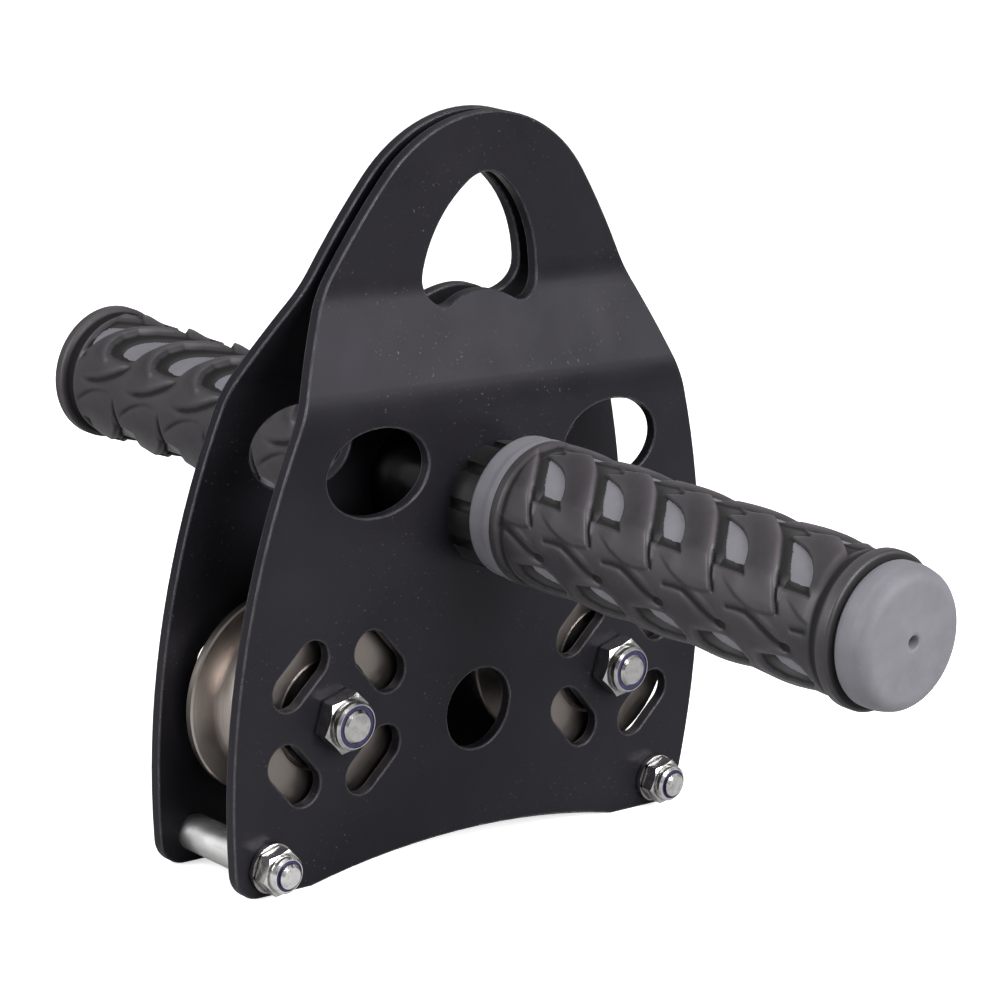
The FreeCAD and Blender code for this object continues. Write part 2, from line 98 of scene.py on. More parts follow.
def gauss(x, width):
    return np.exp(-((x / width) ** 2))


def polygon_distance(u, phi, corners):
    """Distance in millimetres to a closed outline given in (u, degrees): negative inside."""
    px, py = u, phi * ARC
    best = np.full(np.shape(u), 1e9)
    inside = np.zeros(np.shape(u), bool)
    for (ax, ay), (bx, by) in zip(corners, corners[1:] + corners[:1]):
        ay, by = ay * ARC, by * ARC
        ex, ey = bx - ax, by - ay
        t = np.clip(((px - ax) * ex + (py - ay) * ey) / (ex * ex + ey * ey), 0.0, 1.0)
        best = np.minimum(best, np.hypot(px - ax - t * ex, py - ay - t * ey))
        if abs(ey) > 1e-9:
            crosses = ((ay > py) != (by > py)) & (px < ex * (py - ay) / ey + ax)
            inside ^= crosses
    return np.where(inside, -best, best)


def line_distance(u, phi, points):
    """Distance in millimetres to an open line, and how far along it (0 to 1) the nearest point is."""
    px, py = u, phi * ARC
    best = np.full(np.shape(u), 1e9)
    along = np.zeros(np.shape(u))
    lengths = [math.hypot(b[0] - a[0], (b[1] - a[1]) * ARC) for a, b in zip(points, points[1:])]
    total, done = sum(lengths), 0.0
    for (ax, ay), (bx, by), length in zip(points, points[1:], lengths):
        ay, by = ay * ARC, by * ARC
        ex, ey = bx - ax, by - ay
        t = np.clip(((px - ax) * ex + (py - ay) * ey) / (ex * ex + ey * ey), 0.0, 1.0)
        d = np.hypot(px - ax - t * ex, py - ay - t * ey)
        near = d < best
        along = np.where(near, (done + t * length) / total, along)
        best = np.where(near, d, best)
        done += length
    return best, along


def apart(u, centre):
    """Distance along the grip to the nearest copy of a place."""
    return np.mod(u - centre + PITCH / 2, PITCH) - PITCH / 2


def repeat(measure, u, phi, centre, shape):
    """The nearest of a feature's copies along the grip. centre is a u near the middle of the one given."""
    local = apart(u, centre) + centre
    found = None
    for shift in (0.0, -PITCH, PITCH):
        new = measure(local + shift, phi, shape)
        if found is None:
            found = new
        elif isinstance(new, tuple):
            near = new[0] < found[0]
            found = (np.where(near, new[0], found[0]), np.where(near, new[1], found[1]))
        else:
            found = np.minimum(found, new)
    return found


def groove(u, phi, centre, points, depths, widths):
    """A rounded groove along a line: depth and half-width change along it."""
    d, along = repeat(line_distance, u, phi, centre, points)
    depth = np.interp(along, np.linspace(0, 1, len(depths)), depths)
    width = np.interp(along, np.linspace(0, 1, len(widths)), widths)
    return depth * gauss(d, width)


# ---- side A of the moulding: long blade windows between overlapping scales ----
A_CREST = np.polyfit([7.6, 20, 30.3, 40.6, 51, 61.5, 72.1, 79.8, 88, 98],
                     [44.3, 43.0, 41.6, 40.2, 38.7, 36.3, 33.5, 31.1, 27.3, 22.1], 4)
A_WINDOW = [(83, 35.6), (84.2, 34.6), (86.1, 33.9), (88.2, 34), (89, 35.2), (88.5, 40.5), (87.6, 46.7),
            (86.2, 52.4), (84.4, 58.1), (82.1, 63.1), (79.7, 67.1), (77.9, 68.8), (76.6, 69.5), (77, 66.5),
            (78.8, 58.6), (80.9, 46.7)]
A_LOW_WINDOW = [(81.8, -29.3), (82.8, -27.6), (84.5, -26.8), (86.7, -26.9), (88.2, -28), (89, -31.9),
                (90.4, -38.4), (90.1, -40.5), (88.3, -40.5), (85.3, -38.3), (83, -34.2)]
A_LOW_RECESS = [(76, -30.6), (77, -27.9), (79.4, -26.1), (83.4, -25.5), (87.4, -26), (89.5, -29),
                (90.8, -36.6), (91.7, -44.5), (90.2, -52.1), (86.3, -57.7), (81, -59.7), (77.5, -53.5),
                (75.9, -45.8), (75.7, -36.6)]
A_VALLEY = [(68.5, -0.4), (71.5, 0.4), (74, 0.2), (76.5, -3.2), (79.5, -8.9), (82.5, -14.7), (85.4, -19.5)]
A_RIDGE = [(75.3, 2.9), (77.5, 0.6), (80, -2.9), (82.5, -7.9), (85, -12.6), (87.4, -17.3)]
A_PIT = [(83.5, -15.2), (85.5, -12.6), (86.7, -15.2), (86.8, -18.4), (85.8, -21.8), (84.4, -22.1),
         (83.4, -19.5)]
# how far the recess behind a crest reaches along the grip, at each phi
A_REACH = ([26, 35, 48, 58, 64, 68, 73, 80, 90, 98],
           [10.2, 9.5, 9.6, 9.0, 7.8, 5.6, 3.6, 9.5, 10.5, 10.5])
# the phi of the scales' foot, at each distance back from A_FOOT_U
A_FOOT_U = 82.5
A_FOOT = ([0, 2.2, 4.7, 7.2, 9.7, 12.2, 13.7, 16.7, 19],
          [7.0, 5.4, 4.6, 5.0, 7.5, 11, 14, 20, 27])


def side_a(u, phi):
    """Height above the cover's radius, and distance to the nearest window, up to TOP_PHI."""
    p = np.mod(u - np.polyval(A_CREST, phi), PITCH)         # distance past the last scale's crest
    signed = np.where(p > PITCH / 2, p - PITCH, p)
    crest = (0.10 + 0.80 * smooth(phi, 14, 45)) * smooth(phi, 6.5, 12)
    fall = 0.75 + 0.35 * smooth(phi, 30, 45)
    # each scale rises slowly to its crest and drops steeply after it
    h = crest * np.where(p > 9.0, smooth(p, 9.5, 18.4) ** 1.2, 1 - smooth(p, 0.0, fall))
    # the recess behind the crest, with the window in it
    h -= (0.75 * smooth(p, 0.2, fall) * smooth(phi, 25.5, 28.5)
          * (1 - smooth(p, np.interp(phi, *A_REACH) - 0.4, np.interp(phi, *A_REACH) + 0.5)))
    # the cut under the lower part of the crest
    h -= 0.8 * gauss(signed - 0.45, 0.42) * smooth(phi, 5.5, 10.0) * (1 - smooth(phi, 33, 42))
    # the scales' foot stands out from the band below it
    back = np.mod(A_FOOT_U - u, PITCH)
    above_foot = (phi - np.interp(back, *A_FOOT)) * ARC
    h += 0.30 * smooth(above_foot, -0.35, 0.35) * (1 - smooth(back, 12, 18)) * (1 - smooth(phi, 30, 40))
    # the valley and the ridge beside it, and the pit at the valley's end
    h -= groove(u, phi, 77, A_VALLEY, [0.35, 0.4, 0.5, 0.75, 1.0], [0.7, 0.8, 1.3, 1.9, 2.0])
    h += groove(u, phi, 81, A_RIDGE, [0.0, 0.26, 0.34, 0.26, 0.0], [0.8, 0.9, 1.0, 1.0])
    h -= 0.55 * smooth(-repeat(polygon_distance, u, phi, 86, A_PIT), -0.35, 0.7)
    # the lower recess: a low rim, then a slope that is steeper towards the grip's end
    low = repeat(polygon_distance, u, phi, 84, A_LOW_RECESS)
    slope = np.interp(apart(u, 84), [-7, -2, 6], [2.6, 1.3, 0.7])
    h += 0.16 * gauss(low - 0.6, 0.8)
    h -= 0.95 * smooth(-low, 0.0, slope)
    # waves along the underside
    h += 0.5 * np.cos((u + 0.30 * phi) * 2 * math.pi / PITCH) * (1 - smooth(phi, -74, -54))
    windows = np.minimum(repeat(polygon_distance, u, phi, 83, A_WINDOW),
                         repeat(polygon_distance, u, phi, 86.5, A_LOW_WINDOW))
    return h, windows


# ---- side B of the moulding: hooked recesses and rounded lobes ----
B_WINDOW = [(115.4, 39.5), (114.6, 37.5), (112.4, 36.3), (110.1, 36.5), (109.1, 38.1), (108.4, 42.7),
            (107.1, 50.3), (105.4, 57.7), (103.3, 65.3), (101.2, 71.4), (99.6, 75.3), (102.3, 74.1),
            (105.3, 70.2), (108.7, 65.3), (111.7, 59.3), (113.9, 52.3), (115.2, 44.9)]
B_RECESS = [(120.3, 38.2), (119.5, 32.4), (117.5, 28.9), (114.2, 27.6), (110.7, 28.3), (108.3, 32),
            (107.1, 40.4), (105.7, 48.8), (103.8, 57.2), (101.4, 65.7), (97.8, 74.2), (93.5, 82.9),
            (86.8, 94.5), (84, 98), (99, 98), (105.5, 89.4), (111.4, 79.3), (116.4, 68.2), (119.4, 56.1),
            (120.5, 45.5)]
B_CREST = [(119.3, 28.8), (121.2, 36.1), (121.5, 44.5), (120.6, 55.1), (118, 66.6), (113.4, 77.2),
           (107.5, 88.2), (101, 97)]
B_CRESCENT = [(109.5, 27.2), (111.4, 21.3), (113.9, 16), (117, 10.7), (120.1, 7.2), (124.1, 4.8),
              (128.1, 5.2)]
B_SLIT = [(112.8, -3), (113.3, -10), (113.4, -21.6), (113.3, -32), (115, -42), (118.5, -54), (122, -65),
          (126, -78)]
B_LOBE = [(112.6, -27.3), (110.9, -20.2), (108.6, -13.9), (105.4, -7.2), (102.3, -2.8), (99.2, -0.2),
          (96.2, -0.7), (94.1, -3.3)]
B_LOW_WINDOW = [(113.9, -38.6), (110.8, -37.8), (108.7, -39.6), (110.2, -50), (112.6, -62), (116.5, -75),
                (121, -82), (123.5, -77), (120.6, -66), (117.2, -54), (115, -45)]
# u of the lower lobes' edge, at each phi
B_LOBE_EDGE = ([-82, -66, -54, -45, -38], [124.5, 121.0, 118.0, 115.6, 114.5])
B_LOW_RECESS = [(115.4, -38.5), (113.6, -34), (110.6, -34.8), (107.6, -37.8), (109, -50), (111.2, -63),
                (115.2, -78), (121, -86), (125.5, -78), (122, -65.5), (118.6, -53.5)]


def side_b(u, phi):
    """The same for the moulding's other side."""
    recess = repeat(polygon_distance, u, phi, 109, B_RECESS)
    h = -1.25 * smooth(-recess, -0.15, 2.3)
    # the crest beside the recess, not inside it
    crest = groove(u, phi, 112, B_CREST, [0.35, 0.7, 0.85, 0.85, 0.8], [1.2, 2.2, 2.6, 2.8, 3.0])
    h += crest * smooth(recess, -0.5, 0.4)
    # the crescent-shaped cut, and the swelling above it
    d, along = repeat(line_distance, u, phi, 117, B_CRESCENT)
    h -= np.interp(along, [0, 0.15, 0.7, 1], [0.5, 0.8, 0.6, 0.0]) * gauss(d, 1.05)
    h += 0.35 * gauss(np.hypot(apart(u, 118), (phi - 21) * ARC), 5.0)
    h -= groove(u, phi, 117, B_SLIT, [0.0, 0.9, 1.1, 1.1, 1.2], [0.5, 0.6, 0.8, 0.9])
    h -= groove(u, phi, 103, B_LOBE, [0.0, 0.35, 0.35, 0.25, 0.0], [0.6, 0.7, 0.7, 0.6])
    # each lower lobe is highest along its edge
    beside = np.mod(u - np.interp(phi, *B_LOBE_EDGE), PITCH)
    h += 1.1 * smooth(-phi, 18, 50) * (1 - smooth(beside, 1.5, 13.0)) * smooth(beside, 0.0, 1.0)
    h -= 0.90 * smooth(-repeat(polygon_distance, u, phi, 116, B_LOW_RECESS), -0.1, 1.1)
    windows = np.minimum(repeat(polygon_distance, u, phi, 107, B_WINDOW),
                         repeat(polygon_distance, u, phi, 115, B_LOW_WINDOW))
    return h, windows


def moulding(u, phi, near):
    """Height and window distance right round the grip. The far side is the other pattern, mirrored."""
    far = side_b if near is side_a else side_a
    near_h, near_windows = near(u, np.minimum(phi, TOP_PHI))
    far_h, far_windows = far(u, np.minimum(180.0 - phi, TOP_PHI))
    share = smooth(phi, *TOP_BLEND) + 0.5 * (1 - smooth(phi, FIRST_PHI, FIRST_PHI + BOTTOM_BLEND))
    share = share - 0.5 * smooth(phi, LAST_PHI - BOTTOM_BLEND, LAST_PHI)        # the far side's share
    closing = 40.0                              # keeps windows shut where the patterns change over
    windows = np.where(share < 0.5, near_windows + closing * share, far_windows + closing * (1 - share))
    return near_h * (1 - share) + far_h * share, windows


def patterned(u, fade_out):
    """1 along the patterned part of the grip, 0 beyond it."""
    return smooth(u, *PATTERN_IN) * (1 - smooth(u, *fade_out))


def kept_shut(windows, pattern):
    """Window distance, raised where the pattern fades out so that no window opens there."""
    return windows + 6 * (1 - pattern)


def cover_radius(u, phi, grip):
    """The cover's radius, and the same with its windows filled in."""
    h, windows = moulding(u, phi, grip.near)
    pattern = patterned(u, COVER_PATTERN_OUT)
    r = grip.cover_r + h * pattern
    r += (RING_R + LIP_HEIGHT - grip.cover_r) * (1 - smooth(u, *LIP_FADE))
    r -= 0.25 * gauss(u - LIP_FADE[1], 0.6)
    r += (grip.collar_r - grip.cover_r) * smooth(u, *COLLAR_RISE)
    r -= grip.groove_depth * smooth(u, *COLLAR_GROOVE_IN) * (1 - smooth(u, *COLLAR_GROOVE_OUT))
    opened = smooth(-kept_shut(windows, pattern), -0.02, 0.42)
    return r * (1 - opened) + grip.hidden_r * opened, r


def blurred(height, sigma, step, columns):
    """Height averaged over about this many millimetres."""
    for axis, spacing in ((0, step), (1, 360.0 / columns * ARC)):
        reach = int(2.5 * sigma / spacing) + 1
        offsets = np.arange(-reach, reach + 1)
        weights = np.exp(-0.5 * (offsets * spacing / sigma) ** 2)
        weights /= weights.sum()
        if axis == 0:
            padded = np.pad(height, ((reach, reach), (0, 0)), "edge")
            height = sum(w * padded[reach + o:reach + o + len(height)] for w, o in zip(weights, offsets))
        else:
            height = sum(w * np.roll(height, o, axis=1) for w, o in zip(weights, offsets))
    return height


def core_radius(u, phi, grip):
    """The core's radius: the ring, then pads that fill the cover's windows."""
    windows = moulding(u, phi, grip.near)[1]
    pads = smooth(-kept_shut(windows, patterned(u, CORE_PATTERN_OUT)), -0.9, -0.35)
    ring = RING_R + RING_STEP_R * smooth(u, RING_STEP_U - 0.3, RING_STEP_U + 0.3)
    rounding = 0.9
    corner = np.clip((GRIP_START + rounding - u) / rounding, 0.0, 1.0)
    ring = ring - rounding * (1 - np.sqrt(1 - corner ** 2))
    return np.where(u < RING_END + 0.3, ring, grip.inner_r + (grip.pad_r - grip.inner_r) * pads)


# ---- meshes ----
def around(columns):
    """phi of each column, in degrees."""
    return np.linspace(FIRST_PHI, LAST_PHI, columns, endpoint=False)


def lathe_mesh(name, rows, grip, columns, rub_and_painted_light=None):
    """Mesh from rows of (u, radius at every column). The last argument is painted light per point: 0 for
    painted shade in creases, 1 for a painted highlight on crests.
    """
    phi = np.radians(around(columns))
    points, faces = [], []
    for u, r in rows:
        raised = np.interp(u, [GRIP_START, LIFT_END], [grip.lift_in, grip.lift_out])
        ring = [-r * np.cos(phi), np.full(columns, grip.side * u), r * np.sin(phi) + raised]
        points.append(np.stack(ring, 1) * MM + [0, MID_Y, BAR_Z])
    for i in range(len(rows) - 1):
        a = i * columns
        b = a + columns
        for j in range(columns):
            k = (j + 1) % columns
            quad = (a + j, a + k, b + k, b + j)
            faces.append(quad if grip.side > 0 else quad[::-1])
    mesh = bpy.data.meshes.new(name)
    mesh.from_pydata(np.concatenate(points).tolist(), [], faces)
    mesh.update()
    mesh.polygons.foreach_set("use_smooth", [True] * len(mesh.polygons))
    # painted light per point, read by the grip rubber's material: painted shade in creases, painted highlight
    # on crests
    if rub_and_painted_light is not None:
        painted_light_attribute = mesh.attributes.new("rub_and_painted_light", "FLOAT", "POINT")
        painted_light_attribute.data.foreach_set("value", np.concatenate(rub_and_painted_light).astype(np.float32))
    obj = bpy.data.objects.new(name, mesh)
    bpy.context.scene.collection.objects.link(obj)
    return obj


def grip_cover(name, grip):
    columns, step = 284, 0.31
    us = np.arange(RING_END, COLLAR_END + step / 2, step)
    u, phi = np.meshgrid(us, around(columns), indexing="ij")
    r, filled = cover_radius(u, phi, grip)
    # painted light: where the surface lies below its blurred self it gets painted shade, where it stands
    # above it a painted highlight
    fine = filled - blurred(filled, 0.7, step, columns)
    broad = filled - blurred(filled, 2.4, step, columns)
    painted_light_tone = np.clip(0.5 + np.where(fine > 0, 0.8, 1.1) * fine + np.where(broad > 0, 0.2, 0.85) * broad, 0, 1)
    # the bore and the cover's end rows get a low value: painted shade
    painted_end_shade = np.full(columns, 0.2)
    bore = grip.inner_r - 0.2
    rows = [(us[0] + 0.3, bore), (us[0], r[0] - 0.6)]
    rows += zip(us[:-1], r[:-1])
    rows += [(us[-1], r[-1] - 0.35), (us[-1] + 0.25, r[-1] - 0.9), (us[-1] + 0.1, bore), (us[0] + 0.3, bore)]
    return lathe_mesh(name, rows, grip, columns, [painted_end_shade, painted_end_shade, *painted_light_tone, painted_end_shade, painted_end_shade, painted_end_shade])


def grip_core(name, grip):
    columns, step, end = 240, 0.55, grip.end
    us = np.arange(GRIP_START, COLLAR_END, step)
    u, phi = np.meshgrid(us, around(columns), indexing="ij")
    r = core_radius(u, phi, grip)
    rows = [(us[0], BAR_R + 0.1), (us[0], r[0] - 0.7), *zip(us, r)]
    rounding = min(CAP_ROUNDING, end - COLLAR_END)
    start = end - rounding
    if start > COLLAR_END + 3.0:                # the cap's side, where it stands out of the collar
        rows += [(COLLAR_END + 0.5, CAP_R - 0.9), (COLLAR_END + 1.0, CAP_R - 0.35),
                 (COLLAR_END + 1.6, CAP_R - 0.05), (COLLAR_END + 2.6, CAP_R),
                 (start - 1.2, CAP_R), (start - 0.5, CAP_R - 0.12)]
    arc_steps = 8
    for k in range(arc_steps + 1):
        a = math.radians(90 * k / arc_steps)
        rows.append((start + rounding * math.sin(a), CAP_R - 0.35 - rounding * (1 - math.cos(a))))
    # the cap's flat face, a low rim round the vent, and the vent hole
    rows += [(end - 0.04, 12.0), (end - 0.10, 8.0), (end - 0.10, 3.4), (end + 0.02, 2.6),
             (end + 0.02, VENT_R + 0.35), (end - 0.25, VENT_R), (end - 4.0, VENT_R - 0.1),
             (end - VENT_DEPTH + 0.2, VENT_R - 0.2), (end - VENT_DEPTH, 0.3), (end - VENT_DEPTH, 0.01)]
    return lathe_mesh(name, rows, grip, columns)


# ---- materials ----
class Material:
    """A node-built material with a Principled shader. Its keywords set the shader's own sockets.

    A glossy material's whole roughness range lies on one side of 0.27, where the denoiser draws outlines.
    """

    def __init__(self, name, **uniform):
        self.mat = bpy.data.materials.new(name)
        self.mat.use_nodes = True
        self.tree = self.mat.node_tree
        self.shader = next(n for n in self.tree.nodes if n.type == "BSDF_PRINCIPLED")
        for socket, value in uniform.items():
            self.shader.inputs[socket.replace("_", " ")].default_value = value
        self.place = self.node("ShaderNodeTexCoord").outputs["Object"]

    def node(self, kind, **settings):
        made = self.tree.nodes.new(kind)
        for key, value in settings.items():
            setattr(made, key, value)
        return made

    def link(self, source, target):
        self.tree.links.new(source, target)

    def fill(self, made, **inputs):
        for key, value in inputs.items():
            socket = made.inputs[key]
            if isinstance(value, bpy.types.NodeSocket):
                self.link(value, socket)
            else:
                socket.default_value = value
        return made

    def noise(self, scale, detail=3.0, roughness=0.55, vector=None):
        made = self.fill(self.node("ShaderNodeTexNoise"), Scale=scale, Detail=detail, Roughness=roughness)
        self.link(vector or self.place, made.inputs["Vector"])
        return made.outputs["Fac"]

    def ramp(self, value, *stops):
        """stops are (position, number or colour)."""
        made = self.node("ShaderNodeValToRGB")
        band = made.color_ramp
        while len(band.elements) < len(stops):
            band.elements.new(0.5)
        for element, (position, colour) in zip(band.elements, stops):
            element.position = position
            if isinstance(colour, (int, float)):
                colour = (colour, colour, colour)
            element.color = (*colour, 1.0)
        self.link(value, made.inputs["Fac"])
        return made.outputs["Color"]

    def math(self, operation, a, b=0.0, clamp=False):
        made = self.node("ShaderNodeMath", operation=operation, use_clamp=clamp)
        for socket, value in zip(made.inputs, (a, b)):
            if isinstance(value, bpy.types.NodeSocket):
                self.link(value, socket)
            else:
                socket.default_value = value
        return made.outputs[0]

    def mix(self, share, a, b, blend="MIX"):
        made = self.node("ShaderNodeMix", data_type="RGBA", blend_type=blend)
        for index, value in ((0, share), (6, a), (7, b)):
            socket = made.inputs[index]
            if isinstance(value, bpy.types.NodeSocket):
                self.link(value, socket)
            elif index == 0:
                socket.default_value = value
            else:
                socket.default_value = (*value, 1.0)
        return made.outputs[2]

    def bump(self, height, strength, distance, under=None):
        made = self.fill(self.node("ShaderNodeBump"), Height=height, Strength=strength, Distance=distance)
        if under is not None:
            self.link(under, made.inputs["Normal"])
        return made.outputs["Normal"]

    def turned(self, centre_x, centre_z, scale):
        """A vector that is the same all round each axle or bolt, so that noise on it makes turning marks."""
        split = self.fill(self.node("ShaderNodeSeparateXYZ"), Vector=self.place)
        x = self.math("SUBTRACT", self.math("ABSOLUTE", split.outputs["X"]), centre_x)
        z = self.math("SUBTRACT", split.outputs["Z"], centre_z)
        radius = self.math("SQRT", self.math("ADD", self.math("MULTIPLY", x, x), self.math("MULTIPLY", z, z)))
        joined = self.node("ShaderNodeCombineXYZ")
        self.link(self.math("MULTIPLY", radius, scale), joined.inputs["X"])
        self.link(self.math("MULTIPLY", split.outputs["Y"], scale), joined.inputs["Y"])
        return joined.outputs["Vector"]

    def edges(self, radius, low, high):
        """1 on edges that stand out, 0 on flat faces."""
        rounded = self.fill(self.node("ShaderNodeBevel", samples=6), Radius=radius)
        flat = self.node("ShaderNodeNewGeometry")
        dot = self.node("ShaderNodeVectorMath", operation="DOT_PRODUCT")
        self.link(rounded.outputs["Normal"], dot.inputs[0])
        self.link(flat.outputs["Normal"], dot.inputs[1])
        return self.ramp(dot.outputs["Value"], (low, 1.0), (high, 0.0))

    def done(self, colour, roughness, normal=None):
        self.link(colour, self.shader.inputs["Base Color"])
        self.link(roughness, self.shader.inputs["Roughness"])
        if normal is not None:
            self.link(normal, self.shader.inputs["Normal"])
        return self.mat


def tinted(colour, gain):
    return tuple(gain * c for c in colour)


def powder_coat():
    m = Material("black_powder_coat", Specular_IOR_Level=0.17, Specular_Tint=(0.90, 0.87, 1.0, 1.0))
    colour = m.ramp(m.noise(34.0, 4.0), (0.32, (0.0074, 0.0069, 0.0088)), (0.68, (0.0115, 0.0108, 0.0136)))
    specks = m.ramp(m.noise(1500.0, 1.0), (0.715, 0.0), (0.76, 1.0))
    patches = m.ramp(m.noise(48.0, 2.0), (0.47, 0.0), (0.62, 1.0))
    colour = m.mix(m.math("MULTIPLY", m.math("MULTIPLY", specks, patches), 0.55), colour, (0.13, 0.125, 0.14))
    # edges lightened towards pale grey: a painted highlight on the rims, broken up by scuff noise as edge
    # wear
    scuffs = m.ramp(m.noise(240.0, 3.0), (0.34, 0.45), (0.60, 1.0))
    worn_and_painted_light = m.math("MULTIPLY", m.edges(0.0006, 0.84, 0.99), scuffs)
    colour = m.mix(m.math("MULTIPLY", worn_and_painted_light, 0.85), colour, (0.60, 0.58, 0.60))
    rough = m.ramp(m.noise(90.0, 4.0), (0.3, 0.285), (0.7, 0.37))
    rounded = m.fill(m.node("ShaderNodeBevel", samples=6), Radius=0.0005).outputs["Normal"]
    peel = m.bump(m.noise(850.0, 2.0), 0.10, 0.00018, rounded)
    peel = m.bump(m.noise(4200.0, 2.0), 0.10, 0.00005, peel)
    return m.done(colour, rough, peel)


def turned_steel(name, low, high, rough_low, rough_high, centre=(AXLE_X, AXLE_Z), face=None):
    """face is how far from the mid-plane the end faces are, in metres; they get a darker copy of the colour,
    painted shade.
    """
    m = Material(name, Metallic=1.0)
    rings = m.noise(4.0, 5.0, 0.75, vector=m.turned(*centre, 900.0))
    stain = m.noise(70.0, 3.0)
    colour = m.ramp(rings, (0.3, low), (0.7, high))
    colour = m.mix(m.ramp(stain, (0.42, 0.0), (0.72, 0.45)), colour, tinted(low, 0.72))
    if face is not None:
        # painted shade: beyond face the end faces get a darker copy of the steel's colour
        y = m.fill(m.node("ShaderNodeSeparateXYZ"), Vector=m.place).outputs["Y"]
        across = m.math("ABSOLUTE", m.math("SUBTRACT", y, MID_Y))
        share = m.math("MULTIPLY", m.math("SUBTRACT", across, face - 0.0006), 2200.0, clamp=True)
        colour = m.mix(share, colour, m.mix(stain, tinted(low, 0.62), tinted(high, 0.48)))
    patches = m.ramp(m.noise(150.0, 4.0), (0.3, 0.0), (0.7, 1.0))
    rough = m.mix(patches, (rough_low,) * 3, (rough_high,) * 3)
    marks = m.bump(rings, 0.30, 0.00006)
    marks = m.bump(m.noise(1600.0, 3.0), 0.10, 0.00005, marks)
    return m.done(colour, rough, marks)


def plated_steel(name, gain):
    m = Material(name, Metallic=1.0)
    low, high, cool = (tinted(c, gain) for c in ((0.46, 0.45, 0.44), (0.66, 0.65, 0.64), (0.54, 0.54, 0.57)))
    colour = m.ramp(m.noise(230.0, 3.0), (0.30, low), (0.55, high), (0.75, cool))
    dirt = m.ramp(m.noise(600.0, 3.0), (0.50, 0.0), (0.76, 0.55))
    colour = m.mix(dirt, colour, (0.20, 0.18, 0.16))
    # painted shade: the colour darkens where the ambient-occlusion node finds surfaces close by, in corners
    # and crevices
    corner = m.fill(m.node("ShaderNodeAmbientOcclusion", samples=8), Distance=0.0016).outputs["AO"]
    colour = m.mix(1.0, colour, m.ramp(corner, (0.35, 0.04), (0.85, 1.0)), "MULTIPLY")
    rough = m.ramp(m.noise(420.0, 4.0), (0.3, 0.15), (0.72, 0.25))
    dents = m.bump(m.noise(520.0, 2.0), 0.12, 0.00010)
    fine = m.bump(m.noise(3200.0, 2.0), 0.10, 0.00004, dents)
    return m.done(colour, rough, fine)


def nylon():
    m = Material("blue_nylon", Specular_IOR_Level=0.5)
    colour = m.ramp(m.noise(900.0, 3.0), (0.3, (0.010, 0.009, 0.038)), (0.7, (0.028, 0.024, 0.085)))
    rough = m.ramp(m.noise(500.0, 3.0), (0.3, 0.28), (0.7, 0.45))
    return m.done(colour, rough, m.bump(m.noise(1300.0, 3.0), 0.2, 0.0001))


def seal():
    m = Material("seal_rubber", Specular_IOR_Level=0.4)
    rings = m.noise(3.0, 4.0, 0.6, vector=m.turned(AXLE_X, AXLE_Z, 1500.0))
    colour = m.ramp(rings, (0.3, (0.011, 0.011, 0.012)), (0.7, (0.026, 0.026, 0.028)))
    rough = m.ramp(m.noise(400.0, 3.0), (0.3, 0.42), (0.7, 0.62))
    return m.done(colour, rough, m.bump(rings, 0.35, 0.0001))


def moulded_rubber(name, low, high, rough_low, rough_high, dust, specular, worn_and_painted_light=False):
    """With the flag set, the rubber is darkened in its creases as painted shade and lightened on its crests
    as a painted highlight, by the mesh's painted light attribute.
    """
    m = Material(name, Specular_IOR_Level=specular, Sheen_Weight=0.06, Sheen_Roughness=0.45)
    colour = m.ramp(m.noise(60.0, 5.0), (0.3, low), (0.7, high))
    spots = m.ramp(m.noise(1500.0, 2.0), (0.66, 0.0), (0.80, 1.0))
    colour = m.mix(m.math("MULTIPLY", spots, 0.25), colour, dust)
    rub_and_painted_light = m.ramp(m.noise(140.0, 4.0), (0.38, 0.0), (0.72, 0.35))
    colour = m.mix(rub_and_painted_light, colour, tinted(high, 1.35))
    rough = m.ramp(m.noise(220.0, 4.0), (0.3, rough_low), (0.7, rough_high))
    if worn_and_painted_light:
        # painted shade in creases and a painted highlight on crests, from the mesh attribute; creases are
        # also rougher
        painted_light_attribute = m.node("ShaderNodeAttribute", attribute_name="rub_and_painted_light").outputs["Fac"]
        colour = m.mix(1.0, colour, m.ramp(painted_light_attribute, (0.14, 0.06), (0.55, 1.0), (0.92, 2.1)), "MULTIPLY")
        rough = m.mix(m.ramp(painted_light_attribute, (0.12, 1.0), (0.45, 0.0)), rough, (0.90, 0.90, 0.90))
    grain = m.bump(m.noise(2400.0, 3.0), 0.16, 0.00008)
    grain = m.bump(m.noise(420.0, 2.0), 0.08, 0.0002, grain)
    return m.done(colour, rough, grain)


POWDER = powder_coat()
WHEEL_STEEL = turned_steel("wheel_turned_steel", (0.37, 0.318, 0.285), (0.58, 0.523, 0.487), 0.29, 0.37,
                           face=WHEEL_FACE)
BEARING_STEEL = turned_steel("bearing_ground_steel", (0.56, 0.56, 0.565), (0.72, 0.72, 0.72), 0.14, 0.25)
CAGE_STEEL = turned_steel("cage_pressed_steel", (0.36, 0.34, 0.30), (0.52, 0.50, 0.45), 0.30, 0.48)
SPACER_ALLOY = turned_steel("spacer_turned_alloy", (0.60, 0.60, 0.61), (0.78, 0.78, 0.79), 0.29, 0.40)
HANDLE_ALLOY = turned_steel("handle_spacer_alloy", (0.055, 0.055, 0.056), (0.095, 0.094, 0.093), 0.16, 0.25,
                            (0.0, BAR_Z))
BAR_STEEL = turned_steel("bar_drawn_steel", (0.40, 0.40, 0.41), (0.58, 0.58, 0.59), 0.30, 0.42, (0.0, BAR_Z))
CORNER_ALLOY = turned_steel("corner_spacer_alloy", (0.78, 0.78, 0.78), (0.96, 0.96, 0.95), 0.29, 0.38,
                            (CORNER_X, CORNER_Z))
PLATED = plated_steel("plated_steel", 0.92)
